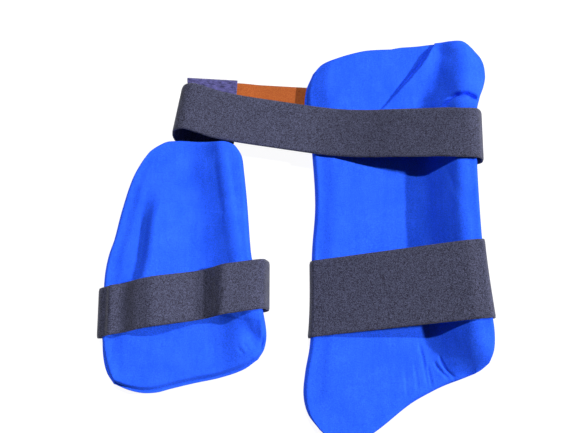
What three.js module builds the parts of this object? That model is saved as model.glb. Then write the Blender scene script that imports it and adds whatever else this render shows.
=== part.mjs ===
// Cricket thigh guard: an outer and an inner thigh pad on one elastic waist belt, lying on its back.
// The pads lie with their padded outside down, so the hollow that takes the thigh faces up.
// Millimetres. X runs across from the inner pad to the outer pad, Y up the leg to the waist, Z up.
// The origin is on the floor under the middle of the whole guard.

import * as THREE from "three";
import { mergeVertices } from "three/addons/utils/BufferGeometryUtils.js";

// Elastic webbing and the gap that keeps neighbouring pieces apart
const WEBBING_THICKNESS = 1.8;
const CLEARANCE = 0.5;
const WEBBING_HALF = WEBBING_THICKNESS / 2;
const SEAT_HEIGHT = WEBBING_THICKNESS + CLEARANCE;

// Outer thigh pad: a padded panel with a wing that stands up on its right
const OUTER_LENGTH = 408;
const OUTER_WIDTH = 190;
const OUTER_THICKNESS = 19;
const OUTER_WING_HEIGHT = 62;
const OUTER_BEND_RADIUS = 34;
const OUTER_CREST_RADIUS = 6;
const OUTER_RIM_WIDTH = 10;

// Inner thigh pad: shorter, with a low wing on the side that faces the outer pad
const INNER_LENGTH = 255;
const INNER_WIDTH = 164;
const INNER_THICKNESS = 18;
const INNER_WING_HEIGHT = 40;
const INNER_BEND_RADIUS = 24;
const INNER_CREST_RADIUS = 5;
const INNER_RIM_WIDTH = 9;

// Where the inner pad lies: its gap to the outer pad, and how far its top lies below the belt's loop
const PAD_SPACING = 34;
const INNER_DROP = 30.7;

// Thigh straps: closed loops of elastic, each turned by a few degrees up towards the right.
// A strap's place is the share of its pad's length at the middle of its width.
const OUTER_STRAP_WIDTH = 75;
const OUTER_STRAP_TURN = 5.2;
const OUTER_STRAP_PLACE = 0.36;
const INNER_STRAP_WIDTH = 48;
const INNER_STRAP_TURN = 9.2;
const INNER_STRAP_PLACE = 0.357;

// Slack of the inner strap, which stands off the pad in a loose bend on each side
const INNER_STRAP_LEFT_SLACK = 3;
const INNER_STRAP_RIGHT_SLACK = 7;
const INNER_STRAP_BEND_RADIUS = 9;

// Waist belt. It is sewn under the outer pad, goes up round its wing and across to an open loop at the
// left, where its tail comes back under the top edge of the inner pad.
const BELT_WIDTH = 50;
const BELT_SEWN_LENGTH = 69;
const BELT_LOOP_REACH = 114;
const BELT_LOOP_HEIGHT = 28;
const BELT_LOOP_DRIFT = 9;
const BELT_LOOP_LEAN = 9;
const BELT_TAIL_LENGTH = 50;
const BELT_TAIL_TURN = 30;

// Stretch panel from the back of the outer pad to the belt's loop, and the hook patch on its end
const PANEL_WIDTH = 48;
const PANEL_SEWN_LENGTH = 48;
const PANEL_TURN = -3.4;
const PANEL_PLACE = 0.838;
const PANEL_DROP_LENGTH = 22;
const PANEL_SETBACK = 6;
const PATCH_WIDTH = 52;
const PATCH_LENGTH = 50;
const PATCH_THICKNESS = 2;
const PATCH_TUCK = 4;

// Facets: steps over a rounded rim, across a pad, along a pad, round a strap and across it
const RIM_STEPS = 3;
const OUTER_STEPS = { across: 28, along: 34 };
const INNER_STEPS = { across: 24, along: 22 };
const LOOP_STEPS = 48;
const WEBBING_BANDS = 3;
const HULL_TURNS = 240;
const BEND_STEPS = 14;
const DRAPE_STEPS = 14;
const WRAP_STEPS = 20;
const DROP_STEPS = 4;
const MERGE_DISTANCE = 1e-4;

// How far a strap's line looks for the pad: a taut loop and the belt in shares of their own bands,
// the inner strap along its draped run in millimetres each way
const BAND_OVERLAP = 0.6;
const BELT_OVERLAP = 1.5;
const DRAPE_REACH = 9;

// Directions that each bend faces from its start to its end, in degrees up from the right
const FULL_TURN = { from: 180, to: -180 };
const BELT_BEND = { from: -85, to: 104 };
const STRAP_RIGHT_BEND = { from: -88, to: 88 };
const STRAP_LEFT_BEND = { from: 85, to: 268 };

// Edges of the outer pad. along is the share of the way up that edge, across the share of the width.
// The wing leaves the panel at foot and bends back level at crest. rise is its top as a share of its height.
const OUTER_SIDES = [
  { along: 0.0, left: 0.092, foot: 0.745, crest: 0.885, right: 0.95, rise: 0.6 },
  { along: 0.04, left: 0.034, foot: 0.73, crest: 0.888, right: 0.968, rise: 0.68 },
  { along: 0.09, left: 0.01, foot: 0.715, crest: 0.88, right: 0.965, rise: 0.8 },
  { along: 0.15, left: 0.016, foot: 0.702, crest: 0.865, right: 0.948, rise: 0.91 },
  { along: 0.22, left: 0.028, foot: 0.692, crest: 0.852, right: 0.931, rise: 0.97 },
  { along: 0.33, left: 0.05, foot: 0.684, crest: 0.838, right: 0.916, rise: 1.0 },
  { along: 0.47, left: 0.056, foot: 0.68, crest: 0.83, right: 0.908, rise: 1.0 },
  { along: 0.61, left: 0.076, foot: 0.68, crest: 0.83, right: 0.906, rise: 1.0 },
  { along: 0.76, left: 0.061, foot: 0.686, crest: 0.838, right: 0.916, rise: 0.97 },
  { along: 0.82, left: 0.046, foot: 0.704, crest: 0.86, right: 0.946, rise: 0.87 },
  { along: 0.87, left: 0.03, foot: 0.732, crest: 0.878, right: 0.984, rise: 0.76 },
  { along: 0.91, left: 0.022, foot: 0.752, crest: 0.878, right: 1.0, rise: 0.7 },
  { along: 0.96, left: 0.034, foot: 0.766, crest: 0.872, right: 0.99, rise: 0.64 },
  { along: 1.0, left: 0.068, foot: 0.772, crest: 0.864, right: 0.938, rise: 0.58 },
];

// Ends of the outer pad. across is the share of the way over the section, the others shares of length.
const OUTER_ENDS = [
  { across: 0.0, bottom: 0.032, top: 0.926 },
  { across: 0.055, bottom: 0.013, top: 0.951 },
  { across: 0.15, bottom: 0.0, top: 0.967 },
  { across: 0.24, bottom: 0.008, top: 0.979 },
  { across: 0.34, bottom: 0.033, top: 0.988 },
  { across: 0.52, bottom: 0.087, top: 0.992 },
  { across: 0.64, bottom: 0.113, top: 0.995 },
  { across: 0.74, bottom: 0.133, top: 1.0 },
  { across: 0.86, bottom: 0.152, top: 1.0 },
  { across: 0.94, bottom: 0.167, top: 0.994 },
  { across: 1.0, bottom: 0.186, top: 0.973 },
];

// Edges of the inner pad, in the same columns as those of the outer pad
const INNER_SIDES = [
  { along: 0.0, left: 0.089, foot: 0.765, crest: 0.905, right: 0.95, rise: 0.66 },
  { along: 0.045, left: 0.046, foot: 0.76, crest: 0.94, right: 0.986, rise: 0.76 },
  { along: 0.11, left: 0.02, foot: 0.757, crest: 0.945, right: 1.0, rise: 0.87 },
  { along: 0.2, left: 0.01, foot: 0.748, crest: 0.92, right: 0.983, rise: 0.94 },
  { along: 0.35, left: 0.008, foot: 0.73, crest: 0.863, right: 0.94, rise: 0.98 },
  { along: 0.46, left: 0.012, foot: 0.715, crest: 0.838, right: 0.91, rise: 1.0 },
  { along: 0.54, left: 0.03, foot: 0.701, crest: 0.821, right: 0.898, rise: 1.0 },
  { along: 0.61, left: 0.06, foot: 0.687, crest: 0.806, right: 0.891, rise: 1.0 },
  { along: 0.73, left: 0.097, foot: 0.66, crest: 0.778, right: 0.878, rise: 1.0 },
  { along: 0.87, left: 0.154, foot: 0.633, crest: 0.75, right: 0.858, rise: 0.98 },
  { along: 0.945, left: 0.206, foot: 0.622, crest: 0.733, right: 0.842, rise: 0.93 },
  { along: 1.0, left: 0.26, foot: 0.615, crest: 0.72, right: 0.8, rise: 0.86 },
];

// Ends of the inner pad
const INNER_ENDS = [
  { across: 0.0, bottom: 0.035, top: 0.951 },
  { across: 0.1, bottom: 0.012, top: 0.979 },
  { across: 0.2, bottom: 0.0, top: 0.997 },
  { across: 0.3, bottom: 0.002, top: 1.0 },
  { across: 0.39, bottom: 0.015, top: 1.0 },
  { across: 0.55, bottom: 0.036, top: 0.994 },
  { across: 0.73, bottom: 0.057, top: 0.988 },
  { across: 0.9, bottom: 0.088, top: 0.981 },
  { across: 1.0, bottom: 0.126, top: 0.967 },
];

// Folds in the face of a pad. Each line runs from its lower to its upper end, in shares of width and length.
// The foam dips along the line by depth over its width, and stands up by ridge on the line's right,
// both depths in shares of the thickness and both widths in shares of the pad's width.
const OUTER_FOLDS = [
  { from: [0.33, 0.79], to: [0.71, 0.985], depth: 0.3, dip: 0.06, ridge: 0.22, spread: 0.1 },
  { from: [0.83, 0.835], to: [0.97, 0.87], depth: 0.22, dip: 0.04, ridge: 0.1, spread: 0.05 },
];
const INNER_FOLDS = [
  { from: [0.13, 0.26], to: [0.24, 0.83], depth: 0.34, dip: 0.07, ridge: 0.16, spread: 0.2 },
];

// Middle line of the belt's upper run, in shares of the outer pad's width and length. lift is the share
// of the way up from the panel's face to the top of the wing. It sags from the wing to the panel's edge.
const BELT_RUN = [
  { across: 0.74, along: 0.731, lift: 0.9 },
  { across: 0.61, along: 0.735, lift: 0.72 },
  { across: 0.48, along: 0.74, lift: 0.53 },
  { across: 0.35, along: 0.746, lift: 0.3 },
  { across: 0.23, along: 0.753, lift: 0.14 },
  { across: 0.12, along: 0.761, lift: 0.04 },
  { across: -0.02, along: 0.771, lift: 0.02 },
  { across: -0.17, along: 0.781, lift: 0.04 },
  { across: -0.32, along: 0.791, lift: 0.07 },
  { across: -0.46, along: 0.803, lift: 0.1 },
];
const BELT_SEWN_PLACE = 0.726;
const BELT_LOOP_PLACE = 0.818;

// A smooth curve through the rows of a table: each row's slope is the one between its neighbours.
function readTable(table, key, column, at) {
  const last = table.length - 1;
  let row = 0;
  while (row < last - 1 && at > table[row + 1][key]) row += 1;
  const slope = (index) => {
    const before = table[Math.max(index - 1, 0)];
    const after = table[Math.min(index + 1, last)];
    return (after[column] - before[column]) / (after[key] - before[key]);
  };
  const start = table[row];
  const end = table[row + 1];
  const span = end[key] - start[key];
  const share = (at - start[key]) / span;
  const square = share * share;
  const cube = square * share;
  return (
    (2 * cube - 3 * square + 1) * start[column] +
    (cube - 2 * square + share) * span * slope(row) +
    (3 * square - 2 * cube) * end[column] +
    (cube - square) * span * slope(row + 1)
  );
}

// Stations from one edge to the other: steps round each rim, then even steps between the rims.
// A station holds the distance from the edge in millimetres and how full the padding is there.
function stations(length, rim, steps) {
  const list = [];
  for (let step = 0; step <= RIM_STEPS; step += 1) {
    const angle = (step / RIM_STEPS) * (Math.PI / 2);
    list.push({ distance: rim * (1 - Math.cos(angle)), fullness: Math.sin(angle) });
  }
  for (let step = 1; step < steps; step += 1) {
    list.push({ distance: rim + (step / steps) * (length - 2 * rim), fullness: 1 });
  }
  for (let step = RIM_STEPS; step >= 0; step -= 1) {
    const angle = (step / RIM_STEPS) * (Math.PI / 2);
    list.push({ distance: length - rim * (1 - Math.cos(angle)), fullness: Math.sin(angle) });
  }
  return list;
}

// The section of a pad at one height: a flat panel, a bend up into a straight wing, and a bend back into
// its level top. It gives the length of its middle line, and the point and upward normal along it.
function padSection(pad, along) {
  const read = (column) => readTable(pad.sides, "along", column, along);
  const left = read("left") * pad.width;
  const foot = read("foot") * pad.width;
  const crest = read("crest") * pad.width;
  const floor = SEAT_HEIGHT + pad.thickness / 2;
  const rise = read("rise") * pad.wingHeight - pad.thickness / 2 - floor;
  const slope = Math.atan2(rise, crest - foot);
  const tangent = Math.tan(slope / 2);
  const flat = foot - pad.bendRadius * tangent - left;
  const bend = pad.bendRadius * slope;
  const wing = Math.hypot(rise, crest - foot) - (pad.bendRadius + pad.crestRadius) * tangent;
  const crown = pad.crestRadius * slope;
  const level = read("right") * pad.width - crest - pad.crestRadius * tangent;
  const at = (distance) => {
    const up = Math.min(Math.max((distance - flat) / pad.bendRadius, 0), slope);
    const straight = Math.min(Math.max(distance - flat - bend, 0), wing);
    const down = Math.min(Math.max((distance - flat - bend - wing) / pad.crestRadius, 0), slope);
    const end = Math.max(distance - flat - bend - wing - crown, 0);
    const bendReach = pad.bendRadius * Math.sin(up);
    const crestReach = pad.crestRadius * (Math.sin(slope) - Math.sin(slope - down));
    const bendLift = pad.bendRadius * (1 - Math.cos(up));
    const crestLift = pad.crestRadius * (Math.cos(slope - down) - Math.cos(slope));
    return {
      x: left + Math.min(distance, flat) + bendReach + straight * Math.cos(slope) + crestReach + end,
      z: floor + bendLift + straight * Math.sin(slope) + crestLift,
      nx: -Math.sin(up - down),
      nz: Math.cos(up - down),
    };
  };
  return { length: flat + bend + wing + crown + level, at };
}

// How far the folds move the face of a pad at a point given in shares of its width and length
function foldRelief(pad, x, y) {
  let relief = 0;
  for (const fold of pad.folds) {
    const from = new THREE.Vector2(fold.from[0] * pad.width, fold.from[1] * pad.length);
    const to = new THREE.Vector2(fold.to[0] * pad.width, fold.to[1] * pad.length);
    const line = to.clone().sub(from);
    const point = new THREE.Vector2(x, y).sub(from);
    const along = point.dot(line) / line.lengthSq();
    const aside = (point.x * line.y - point.y * line.x) / line.length();
    const fade = Math.sin(Math.PI * Math.min(Math.max(along, 0), 1));
    const dip = Math.exp(-((aside / (fold.dip * pad.width)) ** 2));
    const crest = aside / (fold.spread * pad.width) - 1;
    relief += fade * pad.thickness * (fold.ridge * Math.exp(-crest * crest) - fold.depth * dip);
  }
  return relief;
}

// Face and back of a pad as two grids of points that meet along the seam at its edge
function padGrids(pad) {
  const face = [];
  const back = [];
  const readEnd = (column, across) => readTable(pad.ends, "across", column, across) * pad.length;
  const rows = stations(pad.length, pad.rim, pad.steps.along).length;
  const columns = stations(pad.width, pad.rim, pad.steps.across).length;
  for (let row = 0; row < rows; row += 1) {
    face.push([]);
    back.push([]);
    for (let column = 0; column < columns; column += 1) {
      const nominal = stations(pad.width, pad.rim, pad.steps.across)[column].distance / pad.width;
      const reach = readEnd("top", nominal) - readEnd("bottom", nominal);
      const rowStation = stations(reach, pad.rim, pad.steps.along)[row];
      const along = rowStation.distance / reach;
      const section = padSection(pad, along);
      const columnStation = stations(section.length, pad.rim, pad.steps.across)[column];
      const across = columnStation.distance / section.length;
      const middle = section.at(columnStation.distance);
      const bottom = readEnd("bottom", across);
      const y = bottom + (readEnd("top", across) - bottom) * along;
      const fullness = rowStation.fullness * columnStation.fullness;
      const half = (pad.thickness / 2) * fullness;
      const top = half + foldRelief(pad, middle.x, y) * fullness;
      const point = (lift) =>
        new THREE.Vector3(middle.x + middle.nx * lift, y, middle.z + middle.nz * lift).add(pad.place);
      face[row].push(point(top));
      back[row].push(point(-half));
    }
  }
  return { face, back };
}

// A closed geometry between two grids of points. A looped grid joins its last row to its first.
// Walls close the edges of the grids, unless the grids already meet there.
function closedSheet(face, back, looped, walled) {
  const positions = [];
  const triangle = (a, b, c) => positions.push(...a.toArray(), ...b.toArray(), ...c.toArray());
  const quad = (a, b, c, d) => {
    triangle(a, b, c);
    triangle(a, c, d);
  };
  const rows = face.length;
  const columns = face[0].length;
  const spans = looped ? rows : rows - 1;
  for (let row = 0; row < spans; row += 1) {
    const next = (row + 1) % rows;
    for (let column = 0; column + 1 < columns; column += 1) {
      quad(face[row][column], face[row][column + 1], face[next][column + 1], face[next][column]);
      quad(back[row][column], back[next][column], back[next][column + 1], back[row][column + 1]);
    }
    if (walled) {
      const end = columns - 1;
      quad(face[row][0], face[next][0], back[next][0], back[row][0]);
      quad(face[row][end], back[row][end], back[next][end], face[next][end]);
    }
  }
  if (walled && !looped) {
    const end = rows - 1;
    for (let column = 0; column + 1 < columns; column += 1) {
      quad(face[0][column], back[0][column], back[0][column + 1], face[0][column + 1]);
      quad(face[end][column], face[end][column + 1], back[end][column + 1], back[end][column]);
    }
  }
  const soup = new THREE.BufferGeometry();
  soup.setAttribute("position", new THREE.Float32BufferAttribute(positions, 3));
  const geometry = mergeVertices(soup, MERGE_DISTANCE);
  geometry.computeVertexNormals();
  return geometry;
}

// A strap's own frame in plan: it runs across the pad at its turn, and its width lies up the pad
function strapFrame(pad, place, degrees) {
  const slope = Math.tan(THREE.MathUtils.degToRad(degrees));
  const centre = new THREE.Vector3(pad.width / 2, place * pad.length, 0).add(pad.place);
  return { centre, slope, stretch: Math.hypot(1, slope) };
}

// A point from its distance across the pad, its height, and its offset over the strap's width
function fromFrame(frame, flat, offset) {
  return new THREE.Vector3(frame.centre.x + flat.x, frame.centre.y + flat.x * frame.slope + offset, flat.y);
}

// The points of a pad near one station of a strap, as distance along the strap and height
function pointsUnder(grids, frame, offset, reach) {
  const points = [];
  for (const row of [...grids.face, ...grids.back]) {
    for (const vertex of row) {
      const across = vertex.x - frame.centre.x;
      if (Math.abs(vertex.y - frame.centre.y - across * frame.slope - offset) < reach) {
        points.push(new THREE.Vector2(across, vertex.z));
      }
    }
  }
  return points;
}

// The line that a taut strap takes round points, facing from one direction to another in even turns.
// In each direction it passes through the furthest point, set off by lift along that direction.
function tautLine(points, bend, turns, lift) {
  const line = [];
  for (let step = 0; step <= turns; step += 1) {
    const angle = THREE.MathUtils.degToRad(THREE.MathUtils.lerp(bend.from, bend.to, step / turns));
    const normal = new THREE.Vector2(Math.cos(angle), Math.sin(angle));
    const furthest = points.reduce((best, point) => (point.dot(normal) > best.dot(normal) ? point : best));
    line.push(furthest.clone().addScaledVector(normal, lift));
  }
  return line;
}

// Stations round a closed line where turning counts as much as length, so bends get more of them
function spreadAround(line, count) {
  const total = line.length;
  const steps = line.map((point, index) => point.distanceTo(line[(index + 1) % total]));
  const length = steps.reduce((sum, step) => sum + step);
  const measure = [0];
  steps.forEach((step, index) => measure.push(measure[index] + (step / length + 1 / total) / 2));
  const picked = [];
  let index = 0;
  for (let pick = 0; pick < count; pick += 1) {
    const target = pick / count;
    while (measure[index + 1] <= target) index += 1;
    const share = (target - measure[index]) / (measure[index + 1] - measure[index]);
    picked.push({ from: index, to: (index + 1) % total, share });
  }
  return picked;
}

// A taut loop round a pad. Each band across the strap's width takes its own tightest line.
function tautLoop(grids, frame, width) {
  const spacing = (width * frame.stretch) / WEBBING_BANDS;
  const bands = Array.from({ length: WEBBING_BANDS + 1 }, (_, band) => (WEBBING_BANDS / 2 - band) * spacing);
  const grid = (lift) => bands.map((offset) => {
    const points = pointsUnder(grids, frame, offset, BAND_OVERLAP * spacing);
    const line = tautLine(points, FULL_TURN, HULL_TURNS, lift);
    return line.slice(0, -1).map((flat) => fromFrame(frame, flat, offset));
  });
  const outer = grid(CLEARANCE + WEBBING_THICKNESS);
  const inner = grid(CLEARANCE);
  const picked = spreadAround(outer[1], LOOP_STEPS);
  const along = (lines) => picked.map(({ from, to, share }) =>
    lines.map((line) => line[from].clone().lerp(line[to], share)));
  return closedSheet(along(outer), along(inner), true, true);
}

// A ribbon of webbing along a middle line. Each station has its point and the direction of its width.
function ribbon(line, width, thickness, looped) {
  const face = [];
  const back = [];
  const total = line.length;
  line.forEach((station, index) => {
    const before = line[looped ? (index + total - 1) % total : Math.max(index - 1, 0)].point;
    const after = line[looped ? (index + 1) % total : Math.min(index + 1, total - 1)].point;
    const normal = after.clone().sub(before).cross(station.side).normalize();
    const at = (band, lift) => station.point.clone()
      .addScaledVector(station.side, (0.5 - band / WEBBING_BANDS) * width)
      .addScaledVector(normal, lift);
    const bands = Array.from({ length: WEBBING_BANDS + 1 }, (_, band) => band);
    face.push(bands.map((band) => at(band, thickness / 2)));
    back.push(bands.map((band) => at(band, -thickness / 2)));
  });
  return closedSheet(face, back, looped, true);
}

// A circle of points that a loose strap bends round beside the pad, clear of the pad by its slack
function bendPoints(edge, direction, slack) {
  const centre = new THREE.Vector2(
    edge + direction * (slack - INNER_STRAP_BEND_RADIUS),
    SEAT_HEIGHT + INNER_STRAP_BEND_RADIUS,
  );
  return Array.from({ length: 2 * BEND_STEPS }, (_, step) => {
    const angle = (step / BEND_STEPS) * Math.PI;
    const spoke = new THREE.Vector2(Math.cos(angle), Math.sin(angle));
    return spoke.multiplyScalar(INNER_STRAP_BEND_RADIUS).add(centre);
  });
}

// A loose loop: it follows the face of the pad across, and stands off the pad in a bend at each side
function looseLoop(grids, pad, frame, width) {
  const lift = CLEARANCE + WEBBING_HALF;
  const points = pointsUnder(grids, frame, 0, width / 2 + pad.rim);
  const edges = pointsUnder(grids, frame, 0, width / 4).map((point) => point.x);
  const leftBend = bendPoints(Math.min(...edges), -1, INNER_STRAP_LEFT_SLACK);
  const rightBend = bendPoints(Math.max(...edges), 1, INNER_STRAP_RIGHT_SLACK);
  const right = tautLine([...points, ...rightBend], STRAP_RIGHT_BEND, BEND_STEPS, lift);
  const left = tautLine(leftBend, STRAP_LEFT_BEND, BEND_STEPS, lift);
  const start = right[right.length - 1].x;
  const end = left[0].x;
  const drape = [];
  for (let step = 1; step < DRAPE_STEPS; step += 1) {
    const x = THREE.MathUtils.lerp(start, end, step / DRAPE_STEPS);
    const heights = points.filter((point) => Math.abs(point.x - x) < DRAPE_REACH).map((point) => point.y);
    drape.push(new THREE.Vector2(x, Math.max(...heights) + lift));
  }
  const side = new THREE.Vector3(0, 1, 0);
  const line = [...right, ...drape, ...left].map((flat) => ({ point: fromFrame(frame, flat, 0), side }));
  return ribbon(line, width * frame.stretch, WEBBING_THICKNESS, true);
}

const OUTER_PAD = {
  length: OUTER_LENGTH,
  width: OUTER_WIDTH,
  thickness: OUTER_THICKNESS,
  wingHeight: OUTER_WING_HEIGHT,
  bendRadius: OUTER_BEND_RADIUS,
  crestRadius: OUTER_CREST_RADIUS,
  rim: OUTER_RIM_WIDTH,
  sides: OUTER_SIDES,
  ends: OUTER_ENDS,
  folds: OUTER_FOLDS,
  steps: OUTER_STEPS,
  place: new THREE.Vector3(0, 0, 0),
};

const INNER_PAD = {
  length: INNER_LENGTH,
  width: INNER_WIDTH,
  thickness: INNER_THICKNESS,
  wingHeight: INNER_WING_HEIGHT,
  bendRadius: INNER_BEND_RADIUS,
  crestRadius: INNER_CREST_RADIUS,
  rim: INNER_RIM_WIDTH,
  sides: INNER_SIDES,
  ends: INNER_ENDS,
  folds: INNER_FOLDS,
  steps: INNER_STEPS,
  place: new THREE.Vector3(
    -PAD_SPACING - INNER_WIDTH,
    BELT_LOOP_PLACE * OUTER_LENGTH - INNER_DROP - INNER_LENGTH,
    0,
  ),
};

const outerGrids = padGrids(OUTER_PAD);
const innerGrids = padGrids(INNER_PAD);
const outerFrame = strapFrame(OUTER_PAD, OUTER_STRAP_PLACE, OUTER_STRAP_TURN);
const innerFrame = strapFrame(INNER_PAD, INNER_STRAP_PLACE, INNER_STRAP_TURN);

// The direction of a ribbon's width at each point of its line, square to the line in plan
function squareStations(points) {
  const last = points.length - 1;
  return points.map((point, index) => {
    const run = points[Math.min(index + 1, last)].clone().sub(points[Math.max(index - 1, 0)]);
    const side = new THREE.Vector3(-run.y, run.x, 0).multiplyScalar(Math.sign(run.x)).normalize();
    return { point, side };
  });
}

// The waist belt's line, from the end sewn under the outer pad to its tail under the inner pad
function waistBelt() {
  const lift = CLEARANCE + WEBBING_HALF;
  const frame = strapFrame(OUTER_PAD, BELT_SEWN_PLACE, 0);
  const points = pointsUnder(outerGrids, frame, 0, (BELT_WIDTH / 2) * BELT_OVERLAP);
  const wrap = tautLine(points, BELT_BEND, WRAP_STEPS, lift).map((flat) => fromFrame(frame, flat, 0));
  const sewnEnd = new THREE.Vector3(wrap[0].x - BELT_SEWN_LENGTH, wrap[0].y, WEBBING_HALF);
  const faceHeight = SEAT_HEIGHT + OUTER_THICKNESS + lift;
  const topHeight = wrap[WRAP_STEPS].z;
  const run = BELT_RUN.map((row) => new THREE.Vector3(
    row.across * OUTER_WIDTH,
    row.along * OUTER_LENGTH,
    THREE.MathUtils.lerp(faceHeight, topHeight, row.lift),
  ));
  const radius = (BELT_LOOP_HEIGHT - WEBBING_HALF) / 2;
  const lean = THREE.MathUtils.degToRad(BELT_LOOP_LEAN);
  const loop = Array.from({ length: BEND_STEPS + 1 }, (_, step) => {
    const turn = (step / BEND_STEPS) * Math.PI;
    const drift = BELT_LOOP_DRIFT * ((1 - Math.cos(turn)) / 2) ** 2;
    return {
      point: new THREE.Vector3(
        -BELT_LOOP_REACH - radius * Math.sin(turn),
        BELT_LOOP_PLACE * OUTER_LENGTH - drift,
        WEBBING_HALF + radius * (1 + Math.cos(turn)),
      ),
      side: new THREE.Vector3(Math.sin(lean), Math.cos(lean), 0),
    };
  });
  const bottom = loop[BEND_STEPS].point;
  const tailTurn = THREE.MathUtils.degToRad(BELT_TAIL_TURN);
  const tailRun = new THREE.Vector3(Math.cos(tailTurn), -Math.sin(tailTurn), 0);
  const tailEnd = bottom.clone().addScaledVector(tailRun, BELT_TAIL_LENGTH);
  const upright = new THREE.Vector3(0, 1, 0);
  return [
    { point: sewnEnd, side: upright },
    ...wrap.map((point) => ({ point, side: upright })),
    ...squareStations(run),
    ...loop,
    { point: tailEnd, side: loop[BEND_STEPS].side },
  ];
}

// The stretch panel's line in plan, at a distance across from the left side of the outer pad
function panelPoint(across, height) {
  const slope = Math.tan(THREE.MathUtils.degToRad(PANEL_TURN));
  return new THREE.Vector3(across, PANEL_PLACE * OUTER_LENGTH + slope * across, height);
}

// The stretch panel lies on the belt's tail, then drops to the floor and ends under the outer pad
function stretchPanel() {
  const raised = SEAT_HEIGHT + WEBBING_HALF;
  const tailEnd = BELT_TAIL_LENGTH - BELT_LOOP_REACH;
  const drop = Array.from({ length: DROP_STEPS + 1 }, (_, step) => {
    const share = step / DROP_STEPS;
    const height = THREE.MathUtils.lerp(raised, WEBBING_HALF, (1 - Math.cos(share * Math.PI)) / 2);
    return panelPoint(tailEnd + share * PANEL_DROP_LENGTH, height);
  });
  const start = panelPoint(PANEL_SETBACK - BELT_LOOP_REACH, raised);
  return squareStations([start, ...drop, panelPoint(PANEL_SEWN_LENGTH, WEBBING_HALF)]);
}

// The hook patch lies on the left end of the stretch panel and reaches a little into the belt's loop
function hookPatch() {
  const height = SEAT_HEIGHT + WEBBING_THICKNESS + CLEARANCE + PATCH_THICKNESS / 2;
  const left = -BELT_LOOP_REACH - PATCH_TUCK;
  return squareStations([panelPoint(left, height), panelPoint(left + PATCH_LENGTH, height)]);
}

const COVER_CLOTH = { color: 0x2a5cf0, roughness: 0.85, metalness: 0 };
const NAVY_ELASTIC = { color: 0x3f4258, roughness: 0.8, metalness: 0 };
const ORANGE_ELASTIC = { color: 0xdc7526, roughness: 0.8, metalness: 0 };
const PURPLE_HOOK_TAPE = { color: 0x5d5399, roughness: 0.9, metalness: 0 };

const pieces = [
  ["outer_thigh_pad", closedSheet(outerGrids.face, outerGrids.back, false, false), COVER_CLOTH],
  ["inner_thigh_pad", closedSheet(innerGrids.face, innerGrids.back, false, false), COVER_CLOTH],
  ["outer_thigh_strap", tautLoop(outerGrids, outerFrame, OUTER_STRAP_WIDTH), NAVY_ELASTIC],
  ["inner_thigh_strap", looseLoop(innerGrids, INNER_PAD, innerFrame, INNER_STRAP_WIDTH), NAVY_ELASTIC],
  ["waist_belt", ribbon(waistBelt(), BELT_WIDTH, WEBBING_THICKNESS, false), NAVY_ELASTIC],
  ["belt_stretch_panel", ribbon(stretchPanel(), PANEL_WIDTH, WEBBING_THICKNESS, false), ORANGE_ELASTIC],
  ["belt_hook_patch", ribbon(hookPatch(), PATCH_WIDTH, PATCH_THICKNESS, false), PURPLE_HOOK_TAPE],
];

const guard = new THREE.Group();
for (const [name, geometry, finish] of pieces) {
  const mesh = new THREE.Mesh(geometry, new THREE.MeshStandardMaterial(finish));
  mesh.name = name;
  guard.add(mesh);
}
const outline = new THREE.Box3().setFromObject(guard);
const middle = outline.getCenter(new THREE.Vector3());
guard.position.set(-middle.x, -middle.y, -outline.min.z);

export default guard;
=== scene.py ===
"""Cricket thigh guard: two padded pads, a waist belt, a stretch panel with its hook patch, and two straps.

The guard lies on its padded outside, and the floor is level with Z = 0. Sizes are in millimetres and become
metres when a mesh is made. The pad frame has its origin at the lower left corner of the outer pad: X right,
Y up the leg, Z up.
"""

import bpy
import numpy as np
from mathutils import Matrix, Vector
from mathutils.kdtree import KDTree


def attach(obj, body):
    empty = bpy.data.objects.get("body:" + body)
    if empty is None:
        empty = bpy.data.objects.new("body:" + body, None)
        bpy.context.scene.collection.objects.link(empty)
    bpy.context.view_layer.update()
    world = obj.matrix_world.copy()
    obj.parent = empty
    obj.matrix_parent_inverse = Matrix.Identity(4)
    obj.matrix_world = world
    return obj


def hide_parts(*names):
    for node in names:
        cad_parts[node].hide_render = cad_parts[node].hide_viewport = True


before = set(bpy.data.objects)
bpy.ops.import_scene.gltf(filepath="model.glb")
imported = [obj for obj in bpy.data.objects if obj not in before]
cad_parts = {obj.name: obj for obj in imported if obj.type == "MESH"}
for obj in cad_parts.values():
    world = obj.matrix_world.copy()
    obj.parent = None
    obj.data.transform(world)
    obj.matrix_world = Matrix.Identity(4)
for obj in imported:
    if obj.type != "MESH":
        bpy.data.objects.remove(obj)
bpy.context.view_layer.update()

# Outer thigh pad. A moulded foam panel about 19 mm thick in a stretch knit cover. The two layers of the
# cover are sewn together round the edge, and the panel's right side stands up as a wing round the thigh.
PAD_ORIGIN = np.array([5.9859, -204.1391, 0.0])
WEBBING = 1.8
CLEARANCE = 0.5
SEAT_HEIGHT = WEBBING + CLEARANCE
METRE = 0.001

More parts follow.
